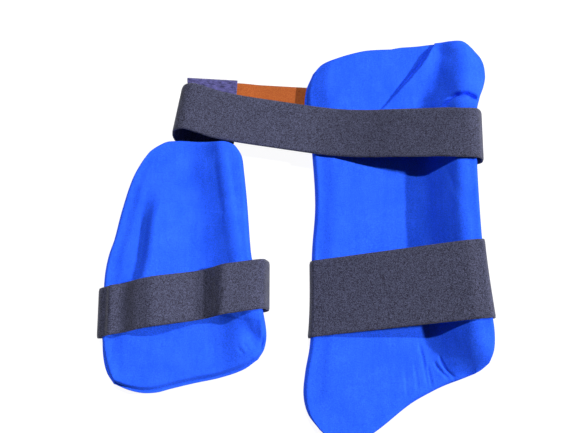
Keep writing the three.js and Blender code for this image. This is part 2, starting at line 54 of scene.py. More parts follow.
OUTER_PAD = {
    "length": 408.0, "width": 190.0, "thickness": 19.0, "wing_height": 62.0, "bend_radius": 34.0,
    "crest_radius": 6.0, "rim": 10.0, "face_rim": 4.0, "place": np.zeros(3), "steps": (158, 244),
    "sides": {
        "along": (0, .04, .09, .15, .22, .33, .47, .61, .76, .82, .87, .91, .96, 1),
        "left": (.092, .034, .01, .019, .043, .056, .057, .076, .061, .046, .03, .022, .034, .068),
        "foot": (.745, .73, .715, .702, .692, .684, .68, .68, .686, .704, .732, .752, .766, .772),
        "crest": (.885, .888, .88, .865, .852, .838, .83, .83, .838, .86, .878, .878, .872, .864),
        "right": (.95, .968, .965, .948, .931, .916, .908, .906, .916, .946, .984, 1, .99, .938),
        "rise": (.62, .73, .86, .96, 1, 1, 1, 1, .97, .87, .76, .7, .64, .58),
    },
    "ends": {
        "across": (0, .055, .15, .24, .34, .52, .64, .74, .86, .94, 1),
        "bottom": (.032, .013, 0, .008, .033, .09, .118, .137, .154, .167, .186),
        "top": (.926, .951, .967, .979, .988, .992, .995, 1, 1, .994, .973),
    },
}


def smooth_curve(table, key, column, at):
    """A cubic through the rows of a table, whose slope at a row is the slope between its neighbours."""
    x, y = np.array(table[key], float), np.array(table[column], float)
    before = np.maximum(np.arange(len(x)) - 1, 0)
    after = np.minimum(np.arange(len(x)) + 1, len(x) - 1)
    slope = (y[after] - y[before]) / (x[after] - x[before])
    row = np.clip(np.searchsorted(x, at) - 1, 0, len(x) - 2)
    span = x[row + 1] - x[row]
    t = (at - x[row]) / span
    return ((2 * t**3 - 3 * t**2 + 1) * y[row] + (t**3 - 2 * t**2 + t) * span * slope[row]
            + (3 * t**2 - 2 * t**3) * y[row + 1] + (t**3 - t**2) * span * slope[row + 1])


def stations(steps, rim_steps=12):
    """Stations over a pad, as shares of its length and of its rim: cosine steps over each rim, and even
    steps between them."""
    angle = np.linspace(0, np.pi / 2, rim_steps + 1)
    share = np.arange(1, steps) / steps
    of_length = np.concatenate([0 * angle, share, 1 + 0 * angle])
    of_rim = np.concatenate([1 - np.cos(angle), 1 - 2 * share, -(1 - np.cos(angle))[::-1]])
    return of_length, of_rim


def ease(x, start, end):
    """0 before start, 1 after end, and a smooth step between them."""
    t = np.clip((x - start) / (end - start), 0, 1)
    return t * t * (3 - 2 * t)


def pad_middle(pad):
    """The middle surface of a pad. Each section is a flat run, an arc of the bend radius, a straight wing,
    an arc of the crest radius back to level, and a level top."""
    across_steps, along_steps = pad["steps"]
    width, length, rim = pad["width"], pad["length"], pad["rim"]
    column_length, column_rim = stations(across_steps)
    row_length, row_rim = (a[:, None] for a in stations(along_steps))
    nominal = column_length + column_rim * rim / width
    ends = pad["ends"]
    nominal_top, nominal_bottom = (smooth_curve(ends, "across", end, nominal) for end in ("top", "bottom"))
    reach = (nominal_top - nominal_bottom) * length
    row_distance = row_length * reach + row_rim * rim
    along = row_distance / reach
    sides = pad["sides"]
    left, foot, crest, right = (smooth_curve(sides, "along", side, along) * width
                                for side in ("left", "foot", "crest", "right"))
    half = pad["thickness"] / 2
    floor = SEAT_HEIGHT + half
    rise = smooth_curve(sides, "along", "rise", along) * pad["wing_height"] - half - floor
    slope = np.arctan2(rise, crest - foot)
    bend_radius, crest_radius = pad["bend_radius"], pad["crest_radius"]
    tangent = np.tan(slope / 2)
    flat = foot - bend_radius * tangent - left
    wing = np.hypot(rise, crest - foot) - (bend_radius + crest_radius) * tangent
    level = right - crest - crest_radius * tangent
    wing_start = flat + bend_radius * slope
    level_start = wing_start + wing + crest_radius * slope
    section = level_start + level
    distance = column_length * section + column_rim * rim
    up = np.clip((distance - flat) / bend_radius, 0, slope)
    straight = np.clip(distance - wing_start, 0, wing)
    down = np.clip((distance - wing_start - wing) / crest_radius, 0, slope)
    end = np.maximum(distance - level_start, 0)
    across = distance / section
    bottom = smooth_curve(ends, "across", "bottom", across) * length
    top = smooth_curve(ends, "across", "top", across) * length
    middle = np.stack([
        left + np.minimum(distance, flat) + bend_radius * np.sin(up) + straight * np.cos(slope)
        + crest_radius * (np.sin(slope) - np.sin(slope - down)) + end,
        bottom + (top - bottom) * along,
        floor + bend_radius * (1 - np.cos(up)) + straight * np.sin(slope)
        + crest_radius * (np.cos(slope - down) - np.cos(slope)),
    ], axis=-1)
    normal = np.stack([-np.sin(up - down), 0 * up, np.cos(up - down)], axis=-1)
    inset = (np.minimum(row_distance, reach - row_distance), np.minimum(distance, section - distance))
    return middle, normal, inset, across, along


def fold(x, y, points, depth, width, step, reach, fade=(0.0, 0.25, 0.75, 1.0)):
    """Relief of one fold line: a sharp dip along the line, as a bell curve of that depth and width, and on
    its right a step up that dies out over reach. Both grow and die over the four shares of the line in fade.
    A negative depth makes a ridge."""
    line = np.array(points, float)
    lengths = np.hypot(*np.diff(line, axis=0).T)
    start = np.concatenate([[0], np.cumsum(lengths)[:-1]])
    best = np.full(x.shape, 1e9)
    aside, along = np.zeros(x.shape), np.zeros(x.shape)
    for (ax, ay), (bx, by), run, size in zip(line[:-1], line[1:], start, lengths):
        dx, dy = (bx - ax) / size, (by - ay) / size
        t = np.clip((x - ax) * dx + (y - ay) * dy, 0, size)
        gap = np.hypot(x - ax - t * dx, y - ay - t * dy)
        side = np.sign((x - ax) * dy - (y - ay) * dx)
        nearer = gap < best
        best = np.where(nearer, gap, best)
        aside = np.where(nearer, gap * side, aside)
        along = np.where(nearer, run + t, along)
    along = along / lengths.sum()
    strength = ease(along, fade[0], fade[1]) * (1 - ease(along, fade[2], fade[3]))
    dip = -depth * np.exp(-(aside / width) ** 2)
    right = step * ease(aside, -width, width) * np.exp(-np.maximum(aside, 0) / reach)
    return strength * (dip + right) * np.exp(-np.maximum(-aside - reach, 0) / reach)


def bump(x, y, centre, radii, height, turn=0.0):
    """A smooth rise of that height over an ellipse, turned anticlockwise by turn degrees."""
    c, s = np.cos(np.radians(turn)), np.sin(np.radians(turn))
    u = ((x - centre[0]) * c + (y - centre[1]) * s) / radii[0]
    v = ((y - centre[1]) * c - (x - centre[0]) * s) / radii[1]
    return height * np.exp(-(u * u + v * v))


def ripple(x, y, length, height, seed):
    """Soft unevenness of foam under cloth: a sum of six sine waves with seeded directions and phases, from
    0.7 to 1.3 times that length."""
    draws = np.random.default_rng(seed).uniform(0, 2 * np.pi, (6, 2))
    waves = [np.sin((x * np.cos(a) + y * np.sin(a)) * 2 * np.pi / (length * (0.7 + 0.12 * i)) + b)
             for i, (a, b) in enumerate(draws)]
    return height * np.sum(waves, axis=0) / 3


CLOTH_LAYERS = 0.9  # half the thickness of the sewn layers at the seam
GROOVE_WIDTH = 0.9
DROP_WIDTH = 26.0


def pad_shell(pad, relief, seam, drop):
    """Face and back of a pad. Each side of the middle surface swells over its rim as a quarter ellipse,
    tighter on the face, and the face also carries the relief. The seam gives the width of a flange outside
    the padding, and the depth and place of a stitched groove. The drop lowers the middle towards the left
    edge."""
    middle, normal, (row_inset, column_inset), across, along = pad_middle(pad)
    x, y = middle[..., 0], middle[..., 1]
    flange_width, groove_depth, groove_place = seam(across, along)

    def fullness(rim):
        full = 1.0
        for inset in (row_inset, column_inset):
            share = np.clip((inset - flange_width) / rim, 0, 1)
            full = full * np.sqrt(1 - (1 - share) ** 2)
        return full

    edge = np.minimum(row_inset, column_inset)
    flange = CLOTH_LAYERS * np.sqrt(np.clip(edge / 0.8, 0, 1)) * (0.1 + 0.9 * ease(flange_width, 0, 1))
    groove = groove_depth * np.exp(-((edge - groove_place) / GROOVE_WIDTH) ** 2)
    face_full = fullness(pad["face_rim"])
    half = pad["thickness"] / 2
    lift = np.maximum(half * face_full - groove, flange) + relief(x, y, across, along) * face_full
    middle[..., 2] -= drop(across, along) * (1 - ease(column_inset, 0, DROP_WIDTH))
    face = middle + normal * lift[..., None]
    back = middle - normal * np.maximum(half * fullness(pad["rim"]), flange)[..., None]
    back[..., 2] = np.maximum(back[..., 2], np.minimum(SEAT_HEIGHT, face[..., 2]))
    return face + pad["place"], back + pad["place"]


def cut_corners(quads, corners):
    """Cuts each quad at a corner of the grid in two from that corner inwards, so that no cut joins two
    points of the seam."""
    hits = np.isin(quads, corners)
    cut = hits.any(axis=1)
    turn = (np.argmax(hits[cut], axis=1)[:, None] + np.arange(4)) % 4
    turned = np.take_along_axis(quads[cut], turn, axis=1)
    return quads[~cut], np.concatenate([turned[:, :3], turned[:, [0, 2, 3]]])


def grid_mesh(name, face, back, looped=False, walled=False):
    """A closed mesh between two grids. UV is the distance along the rows and over the columns, in metres."""
    rows, columns = face.shape[:2]
    points = np.concatenate([face.reshape(-1, 3), back.reshape(-1, 3)])
    index = np.arange(rows * columns).reshape(rows, columns)
    if looped:
        index = np.concatenate([index, index[:1]])
    a, b, c, d = index[:-1, :-1], index[:-1, 1:], index[1:, 1:], index[1:, :-1]
    under = rows * columns
    quads = [np.stack([a, b, c, d], -1).reshape(-1, 4), np.stack([a, d, c, b], -1).reshape(-1, 4) + under]
    if walled:
        first, last = index[:, 0], index[:, -1]
        quads.append(np.stack([first[:-1], first[1:], first[1:] + under, first[:-1] + under], -1))
        quads.append(np.stack([last[:-1], last[:-1] + under, last[1:] + under, last[1:]], -1))
    if walled and not looped:
        start, end = index[0], index[-1]
        quads.append(np.stack([start[:-1], start[:-1] + under, start[1:] + under, start[1:]], -1))
        quads.append(np.stack([end[:-1], end[1:], end[1:] + under, end[:-1] + under], -1))
    quads = np.concatenate(quads)
    triangles = np.empty((0, 3), int)
    if not walled:
        corners = index[[0, 0, -1, -1], [0, -1, 0, -1]]
        quads, triangles = cut_corners(quads, np.concatenate([corners, corners + under]))
    loops = np.concatenate([quads.ravel(), triangles.ravel()])
    run = np.concatenate([[0], np.cumsum(np.linalg.norm(np.diff(face[:, columns // 2], axis=0), axis=-1))])
    over = np.concatenate([[0], np.cumsum(np.linalg.norm(np.diff(face[rows // 2], axis=0), axis=-1))])
    flat = np.stack(np.broadcast_arrays(run[:, None], over[None, :]), -1).reshape(-1, 2)
    uv = np.concatenate([flat, flat])[loops] * METRE
    mesh = bpy.data.meshes.new(name)
    mesh.from_pydata((points + PAD_ORIGIN) * METRE, [], quads.tolist() + triangles.tolist())
    mesh.uv_layers.new(name="flat").data.foreach_set("uv", uv.astype(np.float32).ravel())
    mesh.polygons.foreach_set("use_smooth", np.ones(len(mesh.polygons), bool))
    piece = bpy.data.objects.new(name, mesh)
    bpy.context.scene.collection.objects.link(piece)
    if not walled:
        weld(piece)
    return piece


def weld(piece, nearest=0.000002):
    """Joins the face and the back where they meet along the seam. Only points that lie together join."""
    bpy.context.view_layer.objects.active = piece
    modifier = piece.modifiers.new("seam", "WELD")
    modifier.merge_threshold = nearest
    bpy.ops.object.modifier_apply(modifier=modifier.name)


def swell(face, back, coarse=3, voxel=5.0, pressure=0.5, frames=20, cap=2.5, near=8, passes=40,
          fade_steps=(8, 24)):
    """Air pressure inside the cover, by cloth simulation on a closed copy of every third row and column,
    remeshed to voxels. The swelling at each point of the grids is the mean of its nearest simulated moves,
    weighted by one over distance and up to the cap. It is then averaged with its neighbours over the grid,
    and fades out towards the rim between two numbers of steps from it."""
    rows, columns = (np.unique(np.append(np.arange(0, size, coarse), size - 1)) for size in face.shape[:2])
    draft = grid_mesh("swelling_draft", face[np.ix_(rows, columns)], back[np.ix_(rows, columns)])
    remesh = draft.modifiers.new("voxels", "REMESH")
    remesh.mode = "VOXEL"
    remesh.voxel_size = voxel * METRE
    bpy.ops.object.modifier_apply(modifier=remesh.name)
    start = np.empty(len(draft.data.vertices) * 3)
    draft.data.vertices.foreach_get("co", start)
    start = start.reshape(-1, 3)
    cloth = draft.modifiers.new("cloth", "CLOTH")
    cloth.settings.use_pressure = True
    cloth.settings.uniform_pressure_force = pressure
    cloth.settings.effector_weights.gravity = 0
    cloth.point_cache.frame_end = frames
    for step in range(1, frames + 1):
        bpy.context.scene.frame_set(step)
    solved = draft.evaluated_get(bpy.context.evaluated_depsgraph_get()).data
    end = np.empty(len(start) * 3)
    solved.vertices.foreach_get("co", end)
    bpy.context.scene.frame_set(1)
    bpy.data.objects.remove(draft)
    move = (end.reshape(-1, 3) - start) / METRE
    length = np.linalg.norm(move, axis=-1, keepdims=True)
    move *= np.minimum(1, cap / np.maximum(length, 0.001))
    tree = KDTree(len(start))
    for index, point in enumerate(start):
        tree.insert(point, index)
    tree.balance()
    from_row, from_column = (np.minimum(np.arange(size), np.arange(size)[::-1]) for size in face.shape[:2])
    fade = np.minimum.outer(ease(from_row, *fade_steps), ease(from_column, *fade_steps))[..., None]
    moved = []
    for grid in (face, back):
        found = [tree.find_n(point, near) for point in ((grid.reshape(-1, 3) + PAD_ORIGIN) * METRE)]
        index = np.array([[hit[1] for hit in hits] for hits in found])
        weight = 1 / (np.array([[hit[2] for hit in hits] for hits in found])[..., None] + METRE)
        shift = ((move[index] * weight).sum(1) / weight.sum(1)).reshape(grid.shape)
        for _ in range(passes):
            wide = np.pad(shift, ((1, 1), (1, 1), (0, 0)), "edge")
            shift = (4 * shift + wide[:-2, 1:-1] + wide[2:, 1:-1] + wide[1:-1, :-2] + wide[1:-1, 2:]) / 8
        moved.append(grid + shift * fade)
    face, back = moved
    back[..., 2] = np.maximum(back[..., 2], SEAT_HEIGHT)
    seam = (face + back) / 2
    for edge in (np.s_[0], np.s_[-1], np.s_[:, 0], np.s_[:, -1]):
        face[edge] = back[edge] = seam[edge]
    return face, back


def linear(colour):
    """sRGB hex to linear RGBA."""
    parts = np.array([int(colour[i:i + 2], 16) for i in (1, 3, 5)]) / 255
    return (*np.where(parts <= 0.04045, parts / 12.92, ((parts + 0.055) / 1.055) ** 2.4), 1.0)


COLOUR_A, COLOUR_B, MIXED = 6, 7, 2  # places of a Mix node's two colour inputs and of its colour output


def add_node(tree, kind, settings=None, links=None):
    """Adds one node, sets its properties and input values, and links its inputs to sockets."""
    node = tree.nodes.new(kind)
    for key, value in (settings or {}).items():
        if isinstance(key, str) and hasattr(node, key):
            setattr(node, key, value)
        else:
            node.inputs[key].default_value = value
    for key, socket in (links or {}).items():
        tree.links.new(socket, node.inputs[key])
    return node


def new_material(name):
    """An empty node material with its output."""
    material = bpy.data.materials.new(name)
    material.use_nodes = True
    material.node_tree.nodes.clear()
    return material, material.node_tree


def polyester_knit_cover():
    """Brushed stretch knit over foam, matte with a soft nap: fine wales 0.9 mm apart that run up the pad,
    a grain of about 1 mm where the nap lies differently, faint streaks along the wales, 4 mm apart and 33 mm
    long, and soft mottling about 20 mm across."""
    material, tree = new_material("polyester_knit_cover")
    place = add_node(tree, "ShaderNodeTexCoord").outputs["Object"]
    wales = add_node(tree, "ShaderNodeTexWave", {"wave_type": "BANDS", "bands_direction": "X",
                     "Scale": 350.0, "Distortion": 1.2, "Detail": 2.0, "Detail Scale": 2.0},
                     {"Vector": place})
    nap = add_node(tree, "ShaderNodeTexNoise", {"Scale": 900.0, "Detail": 2.0, "Roughness": 0.6},
                   {"Vector": place})
    mottle = add_node(tree, "ShaderNodeTexNoise", {"Scale": 45.0, "Detail": 5.0, "Roughness": 0.6},
                      {"Vector": place})
    drawn = add_node(tree, "ShaderNodeMapping", {"Scale": (260.0, 30.0, 260.0)}, {"Vector": place})
    streak = add_node(tree, "ShaderNodeTexNoise", {"Scale": 1.0, "Detail": 3.0},
                      {"Vector": drawn.outputs["Vector"]})
    blend = add_node(tree, "ShaderNodeMath", {"operation": "MULTIPLY_ADD", 1: 0.5},
                     {0: streak.outputs["Fac"], 2: mottle.outputs["Fac"]})
    share = add_node(tree, "ShaderNodeMapRange", {"From Min": 0.5, "From Max": 1.0},
                     {"Value": blend.outputs[0]})
    tone = add_node(tree, "ShaderNodeMix",
                    {"data_type": "RGBA", COLOUR_A: linear("#2356f0"), COLOUR_B: linear("#2d62fe")},
                    {"Factor": share.outputs["Result"]})
    grain = add_node(tree, "ShaderNodeMapRange",
                     {"From Min": 0.3, "From Max": 0.7, "To Min": 0.72, "To Max": 1.2},
                     {"Value": nap.outputs["Fac"]})
    fleck = add_node(tree, "ShaderNodeVectorMath", {"operation": "SCALE"},
                     {0: tone.outputs[MIXED], "Scale": grain.outputs["Result"]})
    height = add_node(tree, "ShaderNodeMath", {"operation": "ADD"},
                      {0: wales.outputs["Fac"], 1: nap.outputs["Fac"]})
    relief = add_node(tree, "ShaderNodeBump", {"Strength": 0.35, "Distance": 0.0003},
                      {"Height": height.outputs[0]})
    shader = add_node(tree, "ShaderNodeBsdfPrincipled",
                      {"Roughness": 0.95, "Specular IOR Level": 0.04},
                      {"Base Color": fleck.outputs["Vector"], "Normal": relief.outputs["Normal"]})
    add_node(tree, "ShaderNodeOutputMaterial", {}, {"Surface": shader.outputs["BSDF"]})
    return material


def outer_relief(x, y, across, along):
    """Folds of the outer pad's face: the long crease over the top left, the lobe's tuck with its nub, the
    crisp crest of the wing, the hollow in the lower right corner, and the gathers beside it."""
    crease = [(45, 296), (70, 321), (86, 337.5), (100, 354), (112, 367), (123, 380), (131, 393), (141, 404)]
    relief = fold(x, y, crease, 1.0, 1.2, 2.4, 30, (0, .25, 2, 3))
    relief += fold(x, y, crease, 4.6, 1.7, 7.4, 18, (.35, .85, .9, 1.06))
    crest = [(166, 100), (162.5, 131), (159, 176), (157.5, 225), (157.5, 273), (159, 325)]
    relief += fold(x, y, crest, -1.3, 3.2, 0.0, 9, (0, .2, .85, 1))
    relief += bump(x, y, (165, 328), (13, 9), 4.2)
    tuck = [(146, 326), (152, 334), (156, 338), (160, 340), (165, 340), (171, 337), (176, 332)]
    relief += fold(x, y, tuck, 7.4, 2.2, -1.2, 6, (0, .2, .85, 1))
    relief += fold(x, y, [(163, 331), (168, 334), (174, 333)], 1.4, 1.3, 0.3, 4, (0, .3, .8, 1))
    relief -= bump(x, y, (154, 347), (8, 12), 4.0, -30)
    relief -= bump(x, y, (163, 67), (17, 8), 11.0, 26)
    relief += bump(x, y, (160, 102), (14, 10), 2.0)
    relief += bump(x, y, (171, 90), (9, 11), 3.0)
    for line, depth in (
        ([(114, 98), (116, 88), (118, 78), (120, 65), (122, 52)], 2.3),
        ([(122, 76), (123, 67), (126, 52)], 1.8),
        ([(130, 79), (133, 73), (138, 68), (147, 60)], 2.4),
        ([(137, 85), (140, 77), (144, 69), (151, 61)], 2.7),
        ([(108, 80), (110, 66), (112, 50)], 1.0),
        ([(98, 74), (100, 60), (101, 44)], 0.7),
    ):
        relief += fold(x, y, line, depth, 1.5, 1.0, 4, (0, .3, .8, 1))
    for shift in (0, 9, 17):
        wrinkle = [(150 + shift / 3, 268 - shift), (155 + shift / 3, 236 - shift)]
        relief += fold(x, y, wrinkle, 0.5, 1.5, 0.3, 4)
    return relief + ripple(x, y, 90, 0.5, 3) + ripple(x, y, 34, 0.1, 5)


def outer_seam(across, along):
    """The sewn edge shows as a flat lip 2 mm wide along the upper left edge, with a groove inside it."""
    share = ease(along, 0.8, 0.86) * (1 - ease(across, 0.42, 0.56))
    return 2.0 * share, 1.5 * share, 2.0 * share + 1.0


def outer_drop(across, along):
    """The left edge droops towards the floor where the stretch panel comes out from under it."""
    return 8.0 * ease(along, 0.8, 0.88) * (1 - ease(along, 0.97, 1.03))


cover = polyester_knit_cover()
outer_face, outer_back = pad_shell(OUTER_PAD, outer_relief, outer_seam, outer_drop)
outer_face, outer_back = swell(outer_face, outer_back)
outer_pad = grid_mesh("outer_pad_cover", outer_face, outer_back)
outer_pad.data.materials.append(cover)
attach(outer_pad, "root")
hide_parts("outer_thigh_pad")

# Inner thigh pad. A smaller panel of the same foam and cover with a low wing on its right, and a flange on
# its left that bends up along a soft valley. Its seam lip shows along the bottom edge.
INNER_PAD = {
    "length": 255.0, "width": 164.0, "thickness": 18.0, "wing_height": 40.0, "bend_radius": 68.0,
    "crest_radius": 4.0, "rim": 9.0, "face_rim": 4.0, "place": np.array([-198.0, 48.044, 0.0]),
    "steps": (150, 200),
    "sides": {
        "along": (0, .045, .11, .2, .35, .46, .54, .61, .73, .87, .945, 1),
        "left": (.089, .046, .02, .01, .008, .012, .03, .06, .097, .154, .206, .26),
        "foot": (.735, .733, .732, .727, .713, .698, .684, .67, .643, .616, .605, .598),
        "crest": (.905, .94, .945, .92, .863, .838, .821, .806, .778, .75, .733, .72),
        "right": (.95, .986, 1, .983, .94, .91, .898, .891, .878, .858, .842, .8),
        "rise": (.66, .76, .87, .94, .98, 1, 1, 1, 1, .98, .93, .86),
    },
    "ends": {
        "across": (0, .1, .2, .3, .39, .55, .73, .9, 1),
        "bottom": (.035, .012, 0, .002, .015, .036, .057, .088, .126),
        "top": (.951, .979, .997, 1, 1, .994, .988, .981, .967),
    },
}


def inner_relief(x, y, across, along):
    """The valley left of the middle with a swell on its right, the crisp crest of the wing, and the hollow
    and puckers of the lower right corner."""
    valley = [(29, 64), (33, 92), (38, 112), (42, 130), (44, 152), (46, 172), (49, 190), (54, 212)]
    relief = fold(x, y, valley, 0.8, 9.0, 11.5, 60, (0, .3, .7, 1.0))
    relief += fold(x, y, valley[1:7], 1.6, 2.6, 1.0, 12, (0, .4, .7, 1))
    crest = [(151, 65), (141.5, 100), (137.5, 125), (134.5, 144), (132, 160), (127.5, 188), (123, 221),
             (120, 238)]
    relief += fold(x, y, crest, -0.9, 3.0, 0.0, 9, (0, .2, .9, 1))
    relief -= bump(x, y, (156, 50), (8, 15), 7.5, 30)
    for line, depth in (
        ([(139, 44), (145, 35)], 0.9),
        ([(144, 48), (150, 39)], 1.0),
        ([(149, 51), (155, 43)], 0.8),
    ):
        relief += fold(x, y, line, depth, 1.5, 0.5, 3, (0, .3, .8, 1))
    return relief + ripple(x, y, 80, 0.5, 8) + ripple(x, y, 30, 0.1, 6)


def inner_seam(across, along):
    """The flange shows along the bottom edge and dies out up the sides, with a groove just inside it."""
    share = 1 - ease(along, 0.06, 0.2)
    return 2.8 * share, 3.2 * share, 2.8 * share + 1.4


def inner_drop(across, along):
    """The inner pad's left edge keeps its height."""
    return 0 * across


inner_face, inner_back = pad_shell(INNER_PAD, inner_relief, inner_seam, inner_drop)
inner_face, inner_back = swell(inner_face, inner_back)
inner_pad = grid_mesh("inner_pad_cover", inner_face, inner_back)
inner_pad.data.materials.append(cover)
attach(inner_pad, "root")
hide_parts("inner_thigh_pad")

# Outer thigh strap. A closed loop of 75 mm knitted elastic, navy with pale flecks, pulled taut round the
# panel and over the top of the wing, so that it bridges the hollow between them. Its slope is 5.2 degrees.
OUTER_STRAP = {"width": 75.0, "slope": np.tan(np.radians(5.2)), "middle": (95.0, 0.36 * OUTER_PAD["length"])}


def band_points(cloud, strap, offset, reach):
    """The points of a pad near one band of a strap, as distance across the pad and height."""
    across = cloud[:, 0] - strap["middle"][0]
    aside = cloud[:, 1] - strap["middle"][1] - across * strap["slope"] - offset
    near = np.abs(aside) < reach
    return np.stack([across[near], cloud[near, 2]], -1)


def furthest_line(points, degrees, lift):
    """For each direction the furthest point, set off by lift: the line that a taut strap takes."""
    angle = np.radians(degrees)
    out = np.stack([np.cos(angle), np.sin(angle)], -1)
    return points[np.argmax(points @ out.T, axis=0)] + lift * out


def even_spread(line, count, closed):
    """Places along a line where turning counts as much as length, as fractional indices."""
    following = np.roll(line, -1, axis=0) if closed else line[1:]
    steps = np.linalg.norm(following - line[:len(following)], axis=-1)
    measure = np.concatenate([[0], np.cumsum(steps / steps.sum() * 2 + 1 / len(steps))])
    at = np.linspace(0, measure[-1], count, endpoint=not closed)
    return np.interp(at, measure, np.arange(len(measure)))


def sample(lines, index):
    """Values of an array of lines at fractional indices round its first axis."""
    low = np.floor(index).astype(int)
    share = (index - low)[:, None, None]
    return lines[low % len(lines)] * (1 - share) + lines[(low + 1) % len(lines)] * share


def soften(grid, passes, closed):
    """Averages each station with its neighbours along the strap, the given number of times."""
    for _ in range(passes):
        mean = (np.roll(grid, 1, axis=0) + 2 * grid + np.roll(grid, -1, axis=0)) / 4
        if not closed:
            mean[[0, -1]] = grid[[0, -1]]
        grid = mean
    return grid


def webbing(name, middle, thickness, looped):
    """A ribbon shell about a grid of middle points, rows along it: half the thickness to each side along
    the normal, which is square to both directions of the grid, with edges that thin out over the last
    millimetre."""
    if looped:
        run = np.roll(middle, -1, axis=0) - np.roll(middle, 1, axis=0)
    else:
        run = np.gradient(middle, axis=0)
    normal = np.cross(run, np.gradient(middle, axis=1))
    normal = -normal / np.linalg.norm(normal, axis=-1, keepdims=True)
    edge = np.cumsum(np.linalg.norm(np.diff(middle, axis=1, prepend=middle[:, :1]), axis=-1), axis=1)
    inset = np.minimum(edge, edge[:, -1:] - edge)
    half = thickness / 2 * (0.45 + 0.55 * np.sqrt(np.clip(inset / 1.0, 0, 1)))[..., None]
    return grid_mesh(name, middle + normal * half, middle - normal * half, looped, True)


def wave_scale(millimetres):
    """The scale at which a Wave texture's bands, a tenth of pi apart at scale 1, lie that far apart."""
    return np.pi / 10 / (millimetres * METRE)


def knitted_elastic(name, dark, light, fleck, rib=1.5, row=1.2):
    """Knitted elastic: rubber cores under polyester yarn give shallow ribs along the strap, crossed by fine
    rows of stitches, both at the distances given in millimetres. The bright stitches show as pale flecks
    about 0.6 mm across, and the yarn is a little uneven over 15 mm or so."""
    material, tree = new_material(name)
    flat = add_node(tree, "ShaderNodeUVMap", {"uv_map": "flat"}).outputs["UV"]
    ribs = add_node(tree, "ShaderNodeTexWave", {"wave_type": "BANDS", "bands_direction": "Y",
                    "Scale": wave_scale(rib), "Distortion": 0.3, "Detail": 1.0}, {"Vector": flat})
    rows = add_node(tree, "ShaderNodeTexWave", {"wave_type": "BANDS", "bands_direction": "X",
                    "Scale": wave_scale(row), "Distortion": 0.8, "Detail": 1.0}, {"Vector": flat})
    cells = add_node(tree, "ShaderNodeTexVoronoi", {"Scale": 1650.0}, {"Vector": flat})
    stitch = add_node(tree, "ShaderNodeSeparateColor", {}, {"Color": cells.outputs["Color"]})
    uneven = add_node(tree, "ShaderNodeTexNoise", {"Scale": 60.0, "Detail": 3.0}, {"Vector": flat})
    spark = add_node(tree, "ShaderNodeMapRange", {"From Min": 0.1, "From Max": 1.4},
                     {"Value": stitch.outputs[0]})
    base = add_node(tree, "ShaderNodeMix",
                    {"data_type": "RGBA", COLOUR_A: linear(dark), COLOUR_B: linear(light)},
                    {0: uneven.outputs["Fac"]})
    tone = add_node(tree, "ShaderNodeMix", {"data_type": "RGBA", COLOUR_B: linear(fleck)},
                    {0: spark.outputs["Result"], COLOUR_A: base.outputs[MIXED]})
    height = add_node(tree, "ShaderNodeMath", {"operation": "MULTIPLY_ADD", 1: 0.25},
                      {0: ribs.outputs["Fac"], 2: cells.outputs["Distance"]})
    weave = add_node(tree, "ShaderNodeMath", {"operation": "MULTIPLY_ADD", 1: 0.25},
                     {0: rows.outputs["Fac"], 2: height.outputs[0]})
    relief = add_node(tree, "ShaderNodeBump", {"Strength": 0.7, "Distance": 0.0005},
                      {"Height": weave.outputs[0]})
    shader = add_node(tree, "ShaderNodeBsdfPrincipled",
                      {"Roughness": 0.75, "Specular IOR Level": 0.3, "Sheen Weight": 0.1,
                       "Sheen Roughness": 0.4},
                      {"Base Color": tone.outputs[MIXED], "Normal": relief.outputs["Normal"]})
    add_node(tree, "ShaderNodeOutputMaterial", {}, {"Surface": shader.outputs["BSDF"]})
    return material


def taut_loop(face, back, strap, bands=9, count=300, columns=31):
    """Middle surface of a taut loop: the furthest line of each band, smoothed over the width by a cubic."""
    cloud = np.concatenate([face.reshape(-1, 3), back.reshape(-1, 3)])
    width = strap["width"] * np.hypot(1, strap["slope"])
    offsets = np.linspace(0.5, -0.5, bands) * width
    degrees = np.linspace(180, -180, 720, endpoint=False)
    lift = CLEARANCE + WEBBING / 2
    lines = []
    for offset in offsets:
        near = band_points(cloud, strap, offset, 0.7 * width / (bands - 1))
        line = furthest_line(near, degrees, lift)
        lines.append(sample(line[:, None], even_spread(line, count, True)))
    lines = np.concatenate(lines, axis=1)
    over = np.linspace(-1, 1, columns)
    powers = np.vander(over, 4) @ np.linalg.pinv(np.vander(offsets / offsets[-1], 4))
    flat = np.einsum("cb,nbk->nck", powers, lines)
    offset = np.broadcast_to(np.linspace(0.5, -0.5, columns) * width, flat.shape[:2])
    x = strap["middle"][0] + flat[..., 0]
    y = strap["middle"][1] + flat[..., 0] * strap["slope"] + offset
    return soften(np.stack([x, y, flat[..., 1]], -1), 2, True)


navy = knitted_elastic("navy_knitted_elastic", "#121324", "#1c1c2e", "#606383")
outer_strap = webbing("outer_strap_webbing", taut_loop(outer_face, outer_back, OUTER_STRAP), WEBBING, True)
outer_strap.data.materials.append(navy)
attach(outer_strap, "root")
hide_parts("outer_thigh_strap")

# Inner thigh strap. A closed loop of narrower elastic that lies slack on the inner pad in soft waves and
# stands off it in a loose bend on each side.
INNER_STRAP = {"width": 48.0, "slope": np.tan(np.radians(9.2)),
               "middle": (-116.0, INNER_PAD["place"][1] + 0.357 * INNER_PAD["length"])}
BEND_RADIUS = 9.0
LEFT_SLACK = 3.0
RIGHT_SLACK = 7.0
STRAP_WAVES = {"at": (-90, -75, -65, -56, -48, -32, -26, -8, 8, 16, 28, 39, 50, 61, 73, 90),
               "lift": (2.5, 5.4, 2.4, 0.4, 1.0, 6.4, 6.9, 3.6, 0.5, 0.1, 1.0, 6.4, 3.6, 0.6, 1.8, 0.5)}


